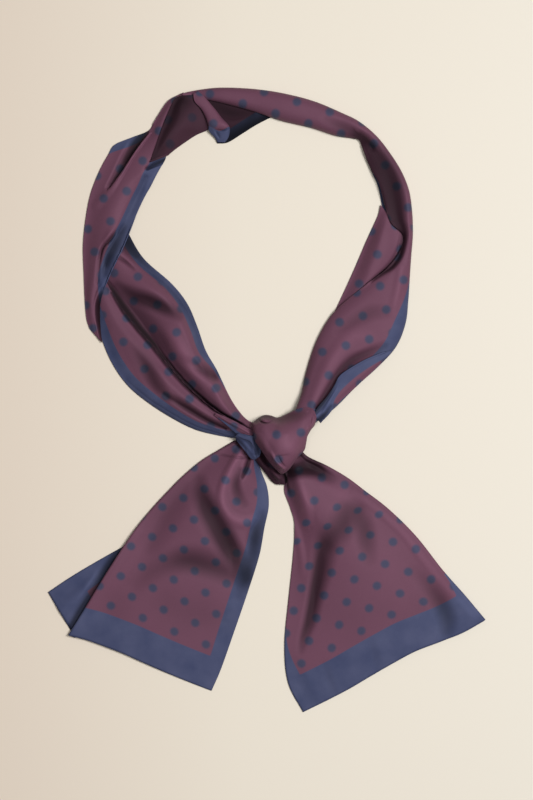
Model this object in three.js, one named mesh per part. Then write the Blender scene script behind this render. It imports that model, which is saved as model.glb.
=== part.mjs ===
// A long silk neck scarf, tied in a loop with one overhand knot and laid flat on a table.
// Millimetres, +Z up. The table is z = 0 and the origin is on it, under the middle of the knot.
// -Y is the way the two tails point, +Y the way the loop lies.
//
// The scarf is one strip of cloth, and every stretch of it that shows is a wall of its own. Sections
// across the strip give the middle of the cloth, folds raise or lower that middle, the stretch is laid
// over those already there, and the middle is then given its thickness.
import * as THREE from "three";

// Driving dimensions.
const CLOTH = 1.2; // wall: two layers of silk and the air between them
const GAP = 0.4; // left between neighbouring walls
const LIE = CLOTH / 2; // height of the middle of a wall that lies on the table
const OVER = CLOTH + GAP; // from the middle of one wall up to the middle of the next
const TURN_STEPS = 3; // facets round a turned edge
const EASE_PASSES = 6; // how softly cloth comes down from what it is laid over
const CELL = 1.25; // grid of the height map
const REACH = 240; // half the side of the square that the height map covers
const MAP_MIDDLE_Y = 30; // its middle lies between the hems and the top of the loop
const CORE = { x: -1, y: 4, radius: 12.2, height: 26, facets: 16 }; // the knot's hidden layers

// Rows of numbers as objects that are named after the columns.
function table(columns, rows) {
  const names = columns.split(" ");
  return rows.map((row) => Object.fromEntries(names.map((name, i) => [name, row[i]])));
}

// Columns of a section, looking along the stretch: the wall's left and right sides (x, y) and the
// heights of their undersides, how far the cloth rises between them, and where across it is highest.
const SECTION = "lx ly lz rx ry rz rise crest";
// Columns of a fold: where its line starts and ends, how far it bows to its left, its half width at
// both ends, its height (negative for a trough), its lean (from -1 to 1: to which side of the line its
// top is shifted), and the share of its height that is left at its start and at its end.
const FOLD = "x0 y0 x1 y1 bow half0 half1 height lean share0 share1";

// The stretches in the order in which they are laid. A turned edge has its angle and radius, and how
// far the hidden cloth runs back under the panel at each section. Without one, the edge is raw.
// round is 0 for a soft bell, 1 for a ridge with straight sides and 2 for a roll with upright sides.
const STRETCHES = [
  {
    name: "tail_left_under",
    steps: 8,
    columns: 6,
    round: 0,
    sections: table(SECTION, [
      [-165, -102, 0, -144, -133, 0, 0.6, 0.4],
      [-149, -91, 0, -121, -117, 0, 1, 0.4],
      [-129, -79, 0, -100, -96, 0, 1.2, 0.4],
      [-98, -62, 0, -84, -76, 0, 0.5, 0.5],
    ]),
    folds: [],
  },
  {
    name: "tail_left",
    steps: 28,
    columns: 16,
    round: 0,
    leftEdge: { turn: 180, radius: 1.3, tucks: [4, 9, 14, 16, 16, 14, 12, 8, 4, 2] },
    sections: table(SECTION, [
      [-150, -133, 0, -50, -172, 0, 0.6, 0.3],
      [-136, -112, 0, -43.5, -157, 0, 0.8, 0.3],
      [-121, -88, 0, -35, -133, 0, 1, 0.3],
      [-103, -60, 0, -24, -101, 0, 1.5, 0.3],
      [-92, -45, 0, -16.5, -77, 0, 2, 0.35],
      [-80, -32, 0, -13, -58, 0, 2.5, 0.4],
      [-69, -21, 0, -10, -43, 0, 3.5, 0.5],
      [-57, -11, 0, -11, -30, 0, 5, 0.55],
      [-44, -3, 0, -15, -19, 0, 6, 0.5],
      [-32, 4, 0, -18, -10, 0, 5, 0.5],
    ]),
    folds: table(FOLD, [
      [-32, -16, -25, -52, 8, 12, 11, 4, 0, 0.8, 0],
      [-56, -20, -40, -64, -5, 7, 9, -3, 0, 0.4, 0],
      [-66, -30, -52, -66, -4, 7, 8, 2.5, 0, 0.7, 0],
      [-48, -62, -76, -96, 4, 12, 16, -2, 0, 0, 0],
      [-36, -84, -22, -94, 0, 6, 6, -1.5, 0, 0, 1],
      [-96, -60, -138, -128, 0, 8, 8, 1.2, 0, 1, 0],
    ]),
  },
  {
    name: "tail_right",
    steps: 26,
    columns: 16,
    round: 0,
    rightEdge: { turn: 180, radius: 1.6, tucks: [2, 8, 12, 13, 13, 12, 11, 8, 4, 2] },
    sections: table(SECTION, [
      [14, -187, 0, 142, -122, 0, 0.5, 0.5],
      [4.5, -166, 0, 127.5, -104, 0, 0.5, 0.5],
      [1, -139, 0, 112, -87, 0, 1, 0.5],
      [4, -106, 0, 93, -64, 0, 2, 0.5],
      [7, -77, 0, 73, -46, 0, 3, 0.4],
      [8, -56, 0, 56, -33, 0, 4, 0.4],
      [5, -44, 0, 44, -25, 0, 6, 0.4],
      [1, -33, 0, 30, -17, 0, 7, 0.45],
      [1, -23, 1, 17, -9, 1, 6, 0.5],
      [-1, -13, 3, 12, -3, 3, 4, 0.5],
    ]),
    folds: table(FOLD, [
      [10, -32, 17, -84, 2, 6, 8, 3.5, 0, 0.8, 0],
      [27, -56, 16, -136, 3, 6, 9, -3, 0, 0, 0],
      [44, -34, 50, -74, 0, 9, 13, -2.5, 0, 0.4, 0],
      [30, -20, 108, -100, 2, 9, 12, 3, -0.3, 0.8, 0],
      [12, -14, 25, -21, 0, 5, 5, -3, 0, 1, 0],
      [106, -104, 122, -126, 0, 8, 9, -1.6, 0, 0, 0.8],
      [52, -134, 64, -158, 0, 14, 16, 1.6, 0, 0, 0.8],
    ]),
  },
  {
    name: "lobe_left",
    steps: 30,
    columns: 18,
    round: 0,
    sections: table(SECTION, [
      [-21, 5, 5, -13, 13, 5, 4, 0.5],
      [-34, 5, 2, -24, 17, 2, 5, 0.5],
      [-47, 7, 0, -31, 24, 0, 6, 0.5],
      [-62, 11, 0, -38, 35, 0, 6, 0.45],
      [-78, 19, 0, -46, 52, 0, 5, 0.45],
      [-95, 30, 0, -54, 66, 0, 5, 0.4],
      [-109, 42, 0, -60, 83, 0, 4, 0.4],
      [-120, 58, 0, -67, 99, 0, 4, 0.4],
      [-126, 76, 0, -78, 113, 0, 4, 0.4],
      [-128, 95, 0, -97, 130, 0, 3, 0.4],
      [-131, 118, 0, -107, 146, 0, 2, 0.4],
      [-133, 138, 0, -112, 158, 0, 1, 0.5],
    ]),
    folds: table(FOLD, [
      [-29, 5, -131, 103, 6, 7, 15, 5, -0.8, 0.6, 0.3],
      [-42, 12, -104, 76, 9, 5, 8, -3, 0, 0.5, 0],
      [-114, 106, -84, 94, -2, 7, 8, -3, 0, 0.5, 0],
      [-76, 88, -48, 48, -3, 7, 8, 3, 0, 0, 0.3],
      [-62, 58, -52, 50, 0, 6, 6, -2, 0, 0, 1],
    ]),
  },
  {
    name: "twist_under",
    steps: 8,
    columns: 8,
    round: 0,
    sections: table(SECTION, [
      [-59, 246, 2, -46, 211, 0, 2, 0.7],
      [-49, 243, 2, -38, 212, 0, 2, 0.7],
      [-35, 238, 2, -28, 217, 0, 1.5, 0.7],
      [-22, 233, 2, -18, 224, 0, 1, 0.6],
      [-9, 231, 2, -5, 228, 0, 0.5, 0.5],
    ]),
    folds: [],
  },
  {
    name: "twist_dark",
    steps: 14,
    columns: 8,
    round: 1,
    sections: table(SECTION, [
      [-96, 196, 1, -82, 200, 0, 5, 0.6],
      [-93, 203, 1, -73, 206, 0, 6, 0.6],
      [-89, 211, 1, -62, 212, 0, 7, 0.6],
      [-85, 221, 1, -54, 218, 0, 7, 0.6],
      [-80, 232, 1, -49, 224, 0, 6, 0.55],
      [-76, 241, 1, -50, 232, 0, 5, 0.5],
      [-68, 246, 1, -54, 239, 0, 3, 0.5],
    ]),
    folds: [],
  },
  {
    name: "loop_right_inner",
    steps: 22,
    columns: 8,
    round: 0,
    sections: table(SECTION, [
      [48, 222, 0, 41, 214, 0, 1, 0.5],
      [58, 215, 0, 52, 211, 0, 2, 0.7],
      [67, 205, 0, 57, 202, 0, 3, 0.7],
      [78, 190, 0, 61, 192, 0, 4, 0.8],
      [85, 175, 0, 66, 181, 0, 4, 0.8],
      [86, 161, 0, 69, 169, 0, 4, 0.7],
      [86, 146, 0, 64, 156, 0, 5, 0.6],
      [84, 134, 0, 59, 144, 0, 5, 0.6],
      [78, 122, 0, 52, 128, 0, 5, 0.6],
      [70, 112, 0, 46, 114, 0, 4, 0.5],
      [58, 102, 0, 39, 100, 0, 3, 0.5],
      [44, 92, 0, 34, 90, 0, 2, 0.5],
    ]),
    folds: [],
  },
  {
    name: "loop_right",
    steps: 54,
    columns: 10,
    round: 1,
    sections: table(SECTION, [
      [-72, 246, 0, -68, 242, 0, 4, 0.5],
      [-59, 248, 0, -56, 243, 0, 7, 0.5],
      [-43, 249.5, 0, -41, 240, 0, 9, 0.5],
      [-20, 248.5, 0, -20, 233, 0, 9, 0.5],
      [1, 245.5, 0, -1, 227, 0, 9, 0.45],
      [22, 240, 0, 20, 222.5, 0, 9, 0.45],
      [41, 232, 0, 37, 217, 0, 9, 0.45],
      [53, 226, 0, 47, 218, 0, 9, 0.5],
      [65, 216, 0, 56.5, 215, 0, 9, 0.5],
      [75, 203.5, 0, 66, 204, 0, 10, 0.5],
      [83, 190.5, 0, 74, 194, 0, 10, 0.5],
      [88, 177.5, 0, 81, 181, 0, 10, 0.5],
      [90, 163, 0, 84, 165, 0, 9, 0.5],
      [90.5, 149, 0, 86, 152, 0, 9, 0.5],
      [89.5, 134, 0, 83, 139, 0, 8, 0.5],
      [88.5, 118, 0, 74, 125, 0, 8, 0.6],
      [87.5, 102, 0, 58, 112, 0, 8, 0.6],
      [85.5, 85, 0, 40, 97, 0, 8, 0.6],
      [79, 69, 0, 30, 85, 0, 8, 0.55],
      [67, 55.5, 0, 22, 69, 0, 8, 0.5],
      [51, 41, 0, 16, 50, 0, 8, 0.5],
      [36, 26, 2, 13, 36, 2, 7, 0.5],
      [20, 14, 5, 8, 22, 5, 5, 0.5],
    ]),
    folds: table(FOLD, [
      [-30, 246, 34, 232, 0, 5, 5, -2, 0, 0, 0],
      [84, 110, 62, 60, 4, 9, 10, 2.5, 0, 0, 0],
      [70, 108, 30, 54, -4, 6, 8, -3, 0, 0, 0],
      [50, 92, 20, 48, -3, 6, 6, 2.5, 0, 0, 0.4],
    ]),
  },
  {
    name: "lobe_right_flap",
    steps: 14,
    columns: 6,
    round: 0,
    sections: table(SECTION, [
      [83.5, 75, 0, 80, 71, 0, 1, 0.3],
      [79, 67, 0, 75, 65, 0, 1.5, 0.3],
      [71, 58, 0, 62, 60, 0, 2, 0.3],
      [60, 48, 0, 49, 54, 0, 2, 0.3],
      [50, 38, 0, 38, 45, 0, 2, 0.3],
      [41, 30, 0, 34, 37, 0, 2, 0.3],
      [32, 22, 0, 30, 28, 0, 1, 0.3],
    ]),
    folds: [],
  },
  {
    name: "twist_strip",
    steps: 14,
    columns: 8,
    round: 1,
    sections: table(SECTION, [
      [-58, 248, 1, -65, 248, 1, 5, 0.5],
      [-51, 242, 1, -60, 242, 1, 6, 0.5],
      [-45, 235, 1, -56, 235, 1, 7, 0.5],
      [-40, 229, 1, -53, 228, 1, 7, 0.5],
      [-37, 223, 1, -53, 222, 1, 6, 0.5],
      [-38, 217, 0, -53, 217, 0, 5, 0.5],
      [-41, 213, 0, -50, 213, 0, 3, 0.5],
    ]),
    folds: [],
  },
  {
    name: "lapel_left",
    steps: 34,
    columns: 12,
    round: 0,
    leftEdge: { turn: 180, radius: 1.8, tucks: [2, 2, 3, 5, 8, 10, 10, 10, 8, 6, 4, 2, 2, 2] },
    sections: table(SECTION, [
      [-132, 77, 0, -128, 84, 0, 1, 0.5],
      [-136, 84, 0, -127, 91, 0, 1.5, 0.5],
      [-138, 102, 0, -127, 102, 0, 2, 0.5],
      [-139, 121, 0, -120, 121, 0, 2, 0.5],
      [-140, 139, 0, -111, 139, 0, 3, 0.5],
      [-139, 159, 0, -103, 160, 0, 4, 0.5],
      [-134, 180, 0, -93, 180, 0, 5, 0.5],
      [-125, 198, 0, -85, 195, 0, 6, 0.55],
      [-112, 212, 0, -88, 200, 0, 6, 0.6],
      [-100, 217, 0, -92, 206, 0, 6, 0.6],
      [-92, 222, 0, -87, 214, 0, 6, 0.5],
      [-85, 234, 0, -79, 229, 0, 6, 0.5],
      [-77, 244, 0, -72, 238, 0, 5, 0.5],
      [-66, 248, 0, -64, 242, 0, 4, 0.5],
    ]),
    folds: table(FOLD, [
      [-94, 220, -124, 176, 4, 5, 7, -3.5, 0, 0.5, 0],
      [-88, 214, -118, 150, -3, 6, 9, 3, 0, 0.5, 0],
    ]),
  },
  {
    name: "knot_under",
    steps: 8,
    columns: 8,
    round: 2,
    sections: table(SECTION, [
      [-15, 4, 4, -21, -4, 2, 6, 0.5],
      [-10, -7, 2, -18, -12, 0, 7, 0.5],
      [-4, -15, 1, -12, -21, 0, 7, 0.5],
      [1, -21, 1, -6, -28, 0, 6, 0.5],
    ]),
    folds: [],
  },
  {
    name: "knot_strip",
    steps: 10,
    columns: 6,
    round: 1,
    sections: table(SECTION, [
      [-42, 23, 0, -44, 16, 0, 4, 0.5],
      [-33, 21, 0, -36, 11, 0, 5, 0.5],
      [-24, 18, 3, -27, 8, 3, 5, 0.5],
      [-17, 15, 6, -18, 5, 6, 5, 0.5],
    ]),
    folds: [],
  },
  {
    name: "knot_collar",
    steps: 10,
    columns: 6,
    round: 1,
    sections: table(SECTION, [
      [-33, 12, 0, -37, 7, 0, 3, 0.5],
      [-25, 10, 2, -30, -1, 1, 4, 0.5],
      [-18, 6, 4, -23, -8, 2, 5, 0.5],
      [-14, 0, 5, -17, -9, 4, 4, 0.5],
    ]),
    folds: [],
  },
  {
    name: "knot_wrap",
    steps: 20,
    columns: 14,
    round: 2,
    sections: table(SECTION, [
      [-20.5, 14, 8, -19.5, 7, 8, 6, 0.5],
      [-16, 18, 5, -15, -1, 5, 15, 0.45],
      [-10, 19.5, 3, -10, -8, 3, 20, 0.45],
      [-4, 19.5, 3, -6, -14, 3, 23, 0.45],
      [3, 21, 3, -1, -18.5, 3, 24, 0.45],
      [10, 24, 3, 5, -15.5, 3, 22, 0.45],
      [16, 25.5, 4, 12, -6, 4, 18, 0.5],
      [21, 25, 6, 17, 5, 6, 12, 0.5],
      [23, 21, 8, 20.5, 14, 8, 6, 0.5],
    ]),
    folds: [],
  },
];

const { clamp } = THREE.MathUtils;
const mix = THREE.MathUtils.lerp;
const smooth = (x) => THREE.MathUtils.smoothstep(x, 0, 1);

// The value at a share of the way along a list, on a Catmull-Rom curve through all of the list.
function through(values, share) {
  const last = values.length - 1;
  const i = Math.min(Math.floor(share * last), last - 1);
  const f = share * last - i;
  const [b, c] = [values[i], values[i + 1]];
  const a = i > 0 ? values[i - 1] : 2 * b - c;
  const d = i + 2 <= last ? values[i + 2] : 2 * c - b;
  return b + 0.5 * f * (c - a + f * (2 * a - 5 * b + 4 * c - d + f * (3 * (b - c) + d - a)));
}

// The turned edge of a wall, from the hidden end of the cloth to where the panel starts, as
// [distance in from the side, height] pairs. A raw edge is only its last pair.
function turnedEdge(edge, tuck, z) {
  if (!edge) return [[0, z]];
  const points = [[edge.radius + Math.max(tuck, 1), z]];
  for (let k = 0; k <= TURN_STEPS; k++) {
    const angle = THREE.MathUtils.degToRad(edge.turn) * (k / TURN_STEPS);
    points.push([edge.radius * (1 - Math.sin(angle)), z + edge.radius * (1 - Math.cos(angle))]);
  }
  return points;
}

// How far across and how high the panel is, both from 0 to 1, at a share of the way round its arch.
function arch(share, crest, round) {
  if (!round) {
    const half = share < crest ? (0.5 * share) / crest : 0.5 + (0.5 * (share - crest)) / (1 - crest);
    return [share, Math.sin(Math.PI * half) ** 2];
  }
  const out = Math.abs(Math.cos(Math.PI * share)) ** (2 / round);
  const up = Math.abs(Math.sin(Math.PI * share)) ** (2 / round);
  return [share < 0.5 ? crest * (1 - out) : crest + (1 - crest) * out, up];
}

// What all folds of a stretch add to the height at a place.
function foldsAt(folds, x, y) {
  let sum = 0;
  for (const f of folds) {
    const line = new THREE.Vector2(f.x1 - f.x0, f.y1 - f.y0);
    const length = line.length();
    line.divideScalar(length);
    const along = ((x - f.x0) * line.x + (y - f.y0) * line.y) / length;
    const bow = f.bow * Math.max(0, 1 - (2 * along - 1) ** 2);
    const beside = (y - f.y0) * line.x - (x - f.x0) * line.y - bow;
    const half = mix(f.half0, f.half1, clamp(along, 0, 1));
    const top = f.lean * half;
    const off = beside < top ? (top - beside) / (half + top) : (beside - top) / (half - top);
    const share = along < 0.5 ? mix(f.share0, 1, smooth(2 * along)) : mix(1, f.share1, smooth(2 * along - 1));
    const past = Math.max(0, -along, along - 1) * length;
    sum += f.height * share * smooth(1 - off) * smooth(1 - past / half);
  }
  return sum;
}

// The middle of the wall across one section, at a share of the way along the stretch.
function section(stretch, share) {
  const at = (name) => through(stretch.sections.map((row) => row[name]), share);
  const left = new THREE.Vector2(at("lx"), at("ly"));
  const across = new THREE.Vector2(at("rx"), at("ry")).sub(left);
  const width = across.length();
  across.divideScalar(width);
  const tuck = (edge) => (edge ? Math.min(through(edge.tucks, share), 0.4 * width) : 0);
  const leftEdge = turnedEdge(stretch.leftEdge, tuck(stretch.leftEdge), at("lz") + LIE);
  const rightEdge = turnedEdge(stretch.rightEdge, tuck(stretch.rightEdge), at("rz") + LIE);
  const [start, end] = [leftEdge.pop(), rightEdge.pop()];
  const place = ([a, z], isPanel) => ({ x: left.x + across.x * a, y: left.y + across.y * a, z, isPanel });
  const points = leftEdge.map((p) => place(p, false));
  for (let j = 0; j <= stretch.columns; j++) {
    const [a, up] = arch(j / stretch.columns, clamp(at("crest"), 0.05, 0.95), stretch.round);
    const z = mix(start[1], end[1], a) + Math.max(0, at("rise")) * up;
    const point = place([mix(start[0], width - end[0], a), z], true);
    const inside = Math.min(stretch.leftEdge ? smooth(a / 0.1) : 1, stretch.rightEdge ? smooth((1 - a) / 0.1) : 1);
    point.z = Math.max(LIE, z + inside * foldsAt(stretch.folds, point.x, point.y));
    points.push(point);
  }
  return [...points, ...rightEdge.reverse().map(([a, z]) => place([width - a, z], false))];
}

// The height of the highest wall laid so far, on a square grid.
class HeightMap {
  constructor() {
    this.cells = Math.ceil((2 * REACH) / CELL);
    this.heights = new Float32Array(this.cells ** 2);
  }
  index(x, y) {
    const [i, j] = [Math.round((x + REACH) / CELL), Math.round((y - MAP_MIDDLE_Y + REACH) / CELL)];
    return [clamp(i, 1, this.cells - 2), clamp(j, 1, this.cells - 2)];
  }
  // The highest place within one cell of a point.
  top(x, y) {
    const [i, j] = this.index(x, y);
    let high = 0;
    for (let k = i - 1; k <= i + 1; k++) {
      for (let l = j - 1; l <= j + 1; l++) high = Math.max(high, this.heights[k * this.cells + l]);
    }
    return high;
  }
  addSolid({ attributes, index }) {
    const corner = (k) => new THREE.Vector3().fromBufferAttribute(attributes.position, index.getX(k));
    for (let k = 0; k < index.count; k += 3) this.addTriangle(corner(k), corner(k + 1), corner(k + 2));
  }
  addTriangle(a, b, c) {
    const low = this.index(Math.min(a.x, b.x, c.x), Math.min(a.y, b.y, c.y));
    const high = this.index(Math.max(a.x, b.x, c.x), Math.max(a.y, b.y, c.y));
    const area = (b.x - a.x) * (c.y - a.y) - (c.x - a.x) * (b.y - a.y);
    if (Math.abs(area) < 1e-6) return;
    for (let i = low[0] - 1; i <= high[0] + 1; i++) {
      for (let j = low[1] - 1; j <= high[1] + 1; j++) {
        const [x, y] = [i * CELL - REACH, j * CELL - REACH + MAP_MIDDLE_Y];
        const s = ((x - a.x) * (c.y - a.y) - (c.x - a.x) * (y - a.y)) / area;
        const t = ((b.x - a.x) * (y - a.y) - (x - a.x) * (b.y - a.y)) / area;
        if (s < -0.01 || t < -0.01 || s + t > 1.01) continue;
        const z = a.z + s * (b.z - a.z) + t * (c.z - a.z);
        this.heights[i * this.cells + j] = Math.max(this.heights[i * this.cells + j], z);
      }
    }
  }
}

// Raises the middle of a wall where it would be in what lies under it, and eases it down around that.
function layOver(grid, map) {
  const needed = ({ x, y, z }) => {
    const top = map.top(x, y);
    return top > 0 ? Math.max(0, top + LIE + GAP - z) : 0;
  };
  const least = grid.map((row) => {
    const edges = row.filter((p) => !p.isPanel).map(needed);
    const edgeNeed = Math.max(0, ...edges);
    return row.map((p, j) => {
      const beside = !row[j - 1]?.isPanel || !row[j + 1]?.isPanel;
      return p.isPanel && !(beside && edges.length) ? needed(p) : Math.max(needed(p), edgeNeed);
    });
  });
  let lift = least;
  for (let pass = 0; pass < EASE_PASSES; pass++) {
    lift = least.map((row, i) =>
      row.map((need, j) => {
        const near = [lift[i - 1]?.[j], lift[i + 1]?.[j], lift[i][j - 1], lift[i][j + 1]];
        const known = near.filter((value) => value !== undefined);
        return Math.max(need, known.reduce((sum, value) => sum + value, 0) / known.length);
      }),
    );
  }
  grid.forEach((row, i) => row.forEach((p, j) => (p.z += lift[i][j])));
}

// A closed wall around the grid of its middle.
function wall(grid) {
  const [rows, columns] = [grid.length, grid[0].length];
  const middle = grid.map((row) => row.map((p) => new THREE.Vector3(p.x, p.y, p.z)));
  const near = (list, i) => list[clamp(i, 0, list.length - 1)];
  const points = [];
  for (const side of [1, -1]) {
    for (let i = 0; i < rows; i++) {
      for (let j = 0; j < columns; j++) {
        const along = near(middle, i + 1)[j].clone().sub(near(middle, i - 1)[j]);
        const across = near(middle[i], j + 1).clone().sub(near(middle[i], j - 1));
        const point = middle[i][j].clone();
        point.addScaledVector(across.cross(along).normalize(), (side * CLOTH) / 2);
        point.z = Math.max(0, point.z);
        points.push(point);
      }
    }
  }
  const index = [];
  const quad = (a, b, c, d) => index.push(a, b, c, a, c, d);
  const id = (side, i, j) => (side * rows + i) * columns + j;
  for (let i = 0; i + 1 < rows; i++) {
    for (let j = 0; j + 1 < columns; j++) {
      quad(id(0, i, j), id(0, i, j + 1), id(0, i + 1, j + 1), id(0, i + 1, j));
      quad(id(1, i, j), id(1, i + 1, j), id(1, i + 1, j + 1), id(1, i, j + 1));
    }
    quad(id(0, i, 0), id(0, i + 1, 0), id(1, i + 1, 0), id(1, i, 0));
    const last = columns - 1;
    quad(id(1, i, last), id(1, i + 1, last), id(0, i + 1, last), id(0, i, last));
  }
  for (let j = 0; j + 1 < columns; j++) {
    const last = rows - 1;
    quad(id(1, 0, j), id(1, 0, j + 1), id(0, 0, j + 1), id(0, 0, j));
    quad(id(0, last, j), id(0, last, j + 1), id(1, last, j + 1), id(1, last, j));
  }
  return new THREE.BufferGeometry().setFromPoints(points).setIndex(index);
}

// The layers hidden in the knot, as one dome that stands flat on the table under the wrap.
function knotCore() {
  const dome = new THREE.SphereGeometry(1, CORE.facets, CORE.facets / 2).rotateX(Math.PI / 2);
  dome.scale(CORE.radius, CORE.radius, CORE.height).translate(CORE.x, CORE.y, 0);
  const points = dome.attributes.position;
  for (let i = 0; i < points.count; i++) points.setZ(i, Math.max(0, points.getZ(i)));
  return dome;
}

const silk = new THREE.MeshStandardMaterial({ name: "silk", color: 0x6c4b5e, roughness: 0.45 });
const map = new HeightMap();
const scarf = new THREE.Group();
scarf.name = "neck_scarf";

function lay(name, solid) {
  map.addSolid(solid);
  solid.computeVertexNormals();
  const mesh = new THREE.Mesh(solid, silk);
  mesh.name = name;
  scarf.add(mesh);
}

lay("knot_core", knotCore());
for (const stretch of STRETCHES) {
  const grid = [];
  for (let i = 0; i <= stretch.steps; i++) grid.push(section(stretch, i / stretch.steps));
  layOver(grid, map);
  lay(stretch.name, wall(grid));
}
export default scarf;
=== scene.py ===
import math
import bpy
import numpy as np
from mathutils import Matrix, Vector


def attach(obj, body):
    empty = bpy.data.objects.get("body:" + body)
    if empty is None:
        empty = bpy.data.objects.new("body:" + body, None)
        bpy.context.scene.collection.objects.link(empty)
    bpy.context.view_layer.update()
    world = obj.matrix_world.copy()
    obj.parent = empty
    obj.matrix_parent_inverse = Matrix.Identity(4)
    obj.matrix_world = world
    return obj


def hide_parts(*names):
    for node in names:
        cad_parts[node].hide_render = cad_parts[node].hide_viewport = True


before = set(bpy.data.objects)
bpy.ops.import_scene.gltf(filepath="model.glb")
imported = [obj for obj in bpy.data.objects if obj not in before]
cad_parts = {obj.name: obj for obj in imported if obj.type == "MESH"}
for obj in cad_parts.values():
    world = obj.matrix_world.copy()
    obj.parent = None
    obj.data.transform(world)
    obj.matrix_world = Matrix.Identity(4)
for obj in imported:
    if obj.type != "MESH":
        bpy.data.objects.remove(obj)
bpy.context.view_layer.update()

# The silk neck scarf as thin sheets on the form of its solids. Lengths are millimetres until a mesh is
# made, and +Z is up from the table. Every stretch is worked out from sections across the strip, folds
# and pleats on it, and what it lies on, and carries its place on the printed cloth in an attribute.
MM = 0.001
SILK = 0.55          # two layers of twill, pressed
GAP = 0.35           # air between stretches that lie on each other
LIE = 0.35           # middle of a sheet that lies on the table
CLEAR = 0.02         # underside of a sheet above the table, at the least
COLUMN = 11.95       # between neighbouring columns of dots, across the strip
ROW = 11.85          # between neighbouring rows of dots, along it
DOT = 3.0            # radius of a dot
DOT_BLUR = 1.2       # a dot's soft rim, in and out
BORDER_BLUR = 0.5    # a border's soft rim, in and out
RIBS = 8.0           # turns a place on the print into the ribs' phase: they lie half a millimetre apart
LEAST_BORDER = 0.4   # a narrower border than this doesn't show
HIDDEN_BORDER = -4   # puts a border that doesn't show off the cloth
CELL = 0.6           # grid of the height map
REACH = 235.0        # from the height map's middle to its sides
MAP_MIDDLE_Y = 30.0
MAP_RIM = 3          # cells along the height map's sides that nothing reaches
CURVE_STEPS = 90     # along the line of a fold
LEAST_HALF = 0.5     # half width of the sharpest fold
CREST = 0.05, 0.95   # where across a stretch its crest may lie
MOST_TUCK = 0.4      # how far a turned edge may run under, as a share of the stretch's width
EASE_SHARE = 0.1     # of the width, over which folds fade toward a turned edge
LIFT_PASSES = 60     # smoothing of a stretch over what it lies on
EDGE_PASSES = 20     # smoothing of a panel over its own turned edge
EDGE_GAP = 0.25      # air between a panel and its own turned edge
EDGE_REACH = 1.5     # how far past its turned edge a panel is kept clear of it
GATHER_FROM, GATHER_OVER = 50, 36    # where the print is squeezed toward the knot
# Relief from and to, and the cloth's painted brightness there: painted shade down in the folds, painted
# highlight along their backs.
PAINTED_FOLD_SHADES = [(-4.5, 0.0, 0.3, 1.0), (0.0, 4.0, 1.0, 1.3), (-9.5, -4.5, 0.35, 1.0)]


def smooth(x):
    x = np.clip(x, 0, 1)
    return x * x * (3 - 2 * x)


def through(values, share):
    """Catmull-Rom through evenly spaced values, at shares from 0 to 1."""
    values = np.asarray(values, float)
    last = len(values) - 1
    share = np.asarray(share, float) * last
    i = np.minimum(share.astype(int), last - 1)
    f = share - i
    ends = np.concatenate([[2 * values[0] - values[1]], values, [2 * values[-1] - values[-2]]])
    a, b, c, d = ends[i], ends[i + 1], ends[i + 2], ends[i + 3]
    return b + 0.5 * f * (c - a + f * (2 * a - 5 * b + 4 * c - d + f * (3 * (b - c) + d - a)))


def curve_height(points, x, y):
    """Relief along a curved line. Columns: x y, half width to its left and right, height."""
    steps = np.linspace(0, 1, CURVE_STEPS)
    cx, cy, left, right, high = (through(column, steps) for column in zip(*points))
    tx, ty = np.gradient(cx), np.gradient(cy)
    far = (x[..., None] - cx) ** 2 + (y[..., None] - cy) ** 2
    k = far.argmin(-1)
    side = (y - cy[k]) * tx[k] - (x - cx[k]) * ty[k]
    half = np.where(side > 0, left[k], right[k])
    return high[k] * smooth(1 - np.sqrt(far.min(-1)) / np.maximum(half, LEAST_HALF))


class HeightMap:
    """How high the stretches laid so far stand above the table."""
    def __init__(self):
        self.n = int(2 * REACH / CELL)
        self.h = np.zeros((self.n, self.n))

    def index(self, x, y):
        most = self.n - 1 - MAP_RIM
        i = np.clip(np.round((x + REACH) / CELL).astype(int), MAP_RIM, most)
        j = np.clip(np.round((y - MAP_MIDDLE_Y + REACH) / CELL).astype(int), MAP_RIM, most)
        return i, j

    def top(self, x, y, cells=2):
        i, j = self.index(x, y)
        high = np.zeros(np.shape(x))
        for a in range(-cells, cells + 1):
            for b in range(-cells, cells + 1):
                high = np.maximum(high, self.h[i + a, j + b])
        return high

    def add(self, x, y, z):
        quarters = np.arange(4) / 4
        for s in quarters:
            for t in quarters:
                def blend(g):
                    return ((1 - s) * (1 - t) * g[:-1, :-1] + s * (1 - t) * g[1:, :-1]
                            + (1 - s) * t * g[:-1, 1:] + s * t * g[1:, 1:])
                i, j = self.index(blend(x), blend(y))
                np.maximum.at(self.h, (i, j), blend(z) + SILK / 2)


STRETCHES = []


def stretch(**facts):
    """Notes down a stretch. The order of the stretches is the order in which they lie on each other.

    rows, columns   cells of its grid, along and across
    sections        a row each: left side x y z, right side x y z, rise, where across it is highest, and
                    the widths of the printed side borders that show at the left and at the right
    round           0 is a low arch with flat sides, 1 to 3 a roll, fuller the larger it is
    left, right     a turned edge: the degrees that it turns, and its radius
    left_tucks, right_tucks    how far the turned edge runs under, along the stretch
    curves          the folds, a list of points each: x y, half width to its left and right, height
    sunk            the share of the folds' height that is shaped, all of it if unsaid; the painted shade
                and painted highlight in the cloth's colour follow the whole height
    hem             width of the printed border at its first section
    print           where the dots stand: "plane", x, y and turn, or "strip", across and along
    print_after     the share of the length past which another x, y and turn hold
    gather          how the print shears, shrinks and is squeezed toward the knot
    bend            how far its first section is drawn in, from its left to its right
    cloth, node     the cloth that shows: silk if unsaid, else a copy painted darker as shade;
                and the solid that it stands for
    flat, area      size and area of its cut, in metres; not used here
    """
    STRETCHES.append(facts)


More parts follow.
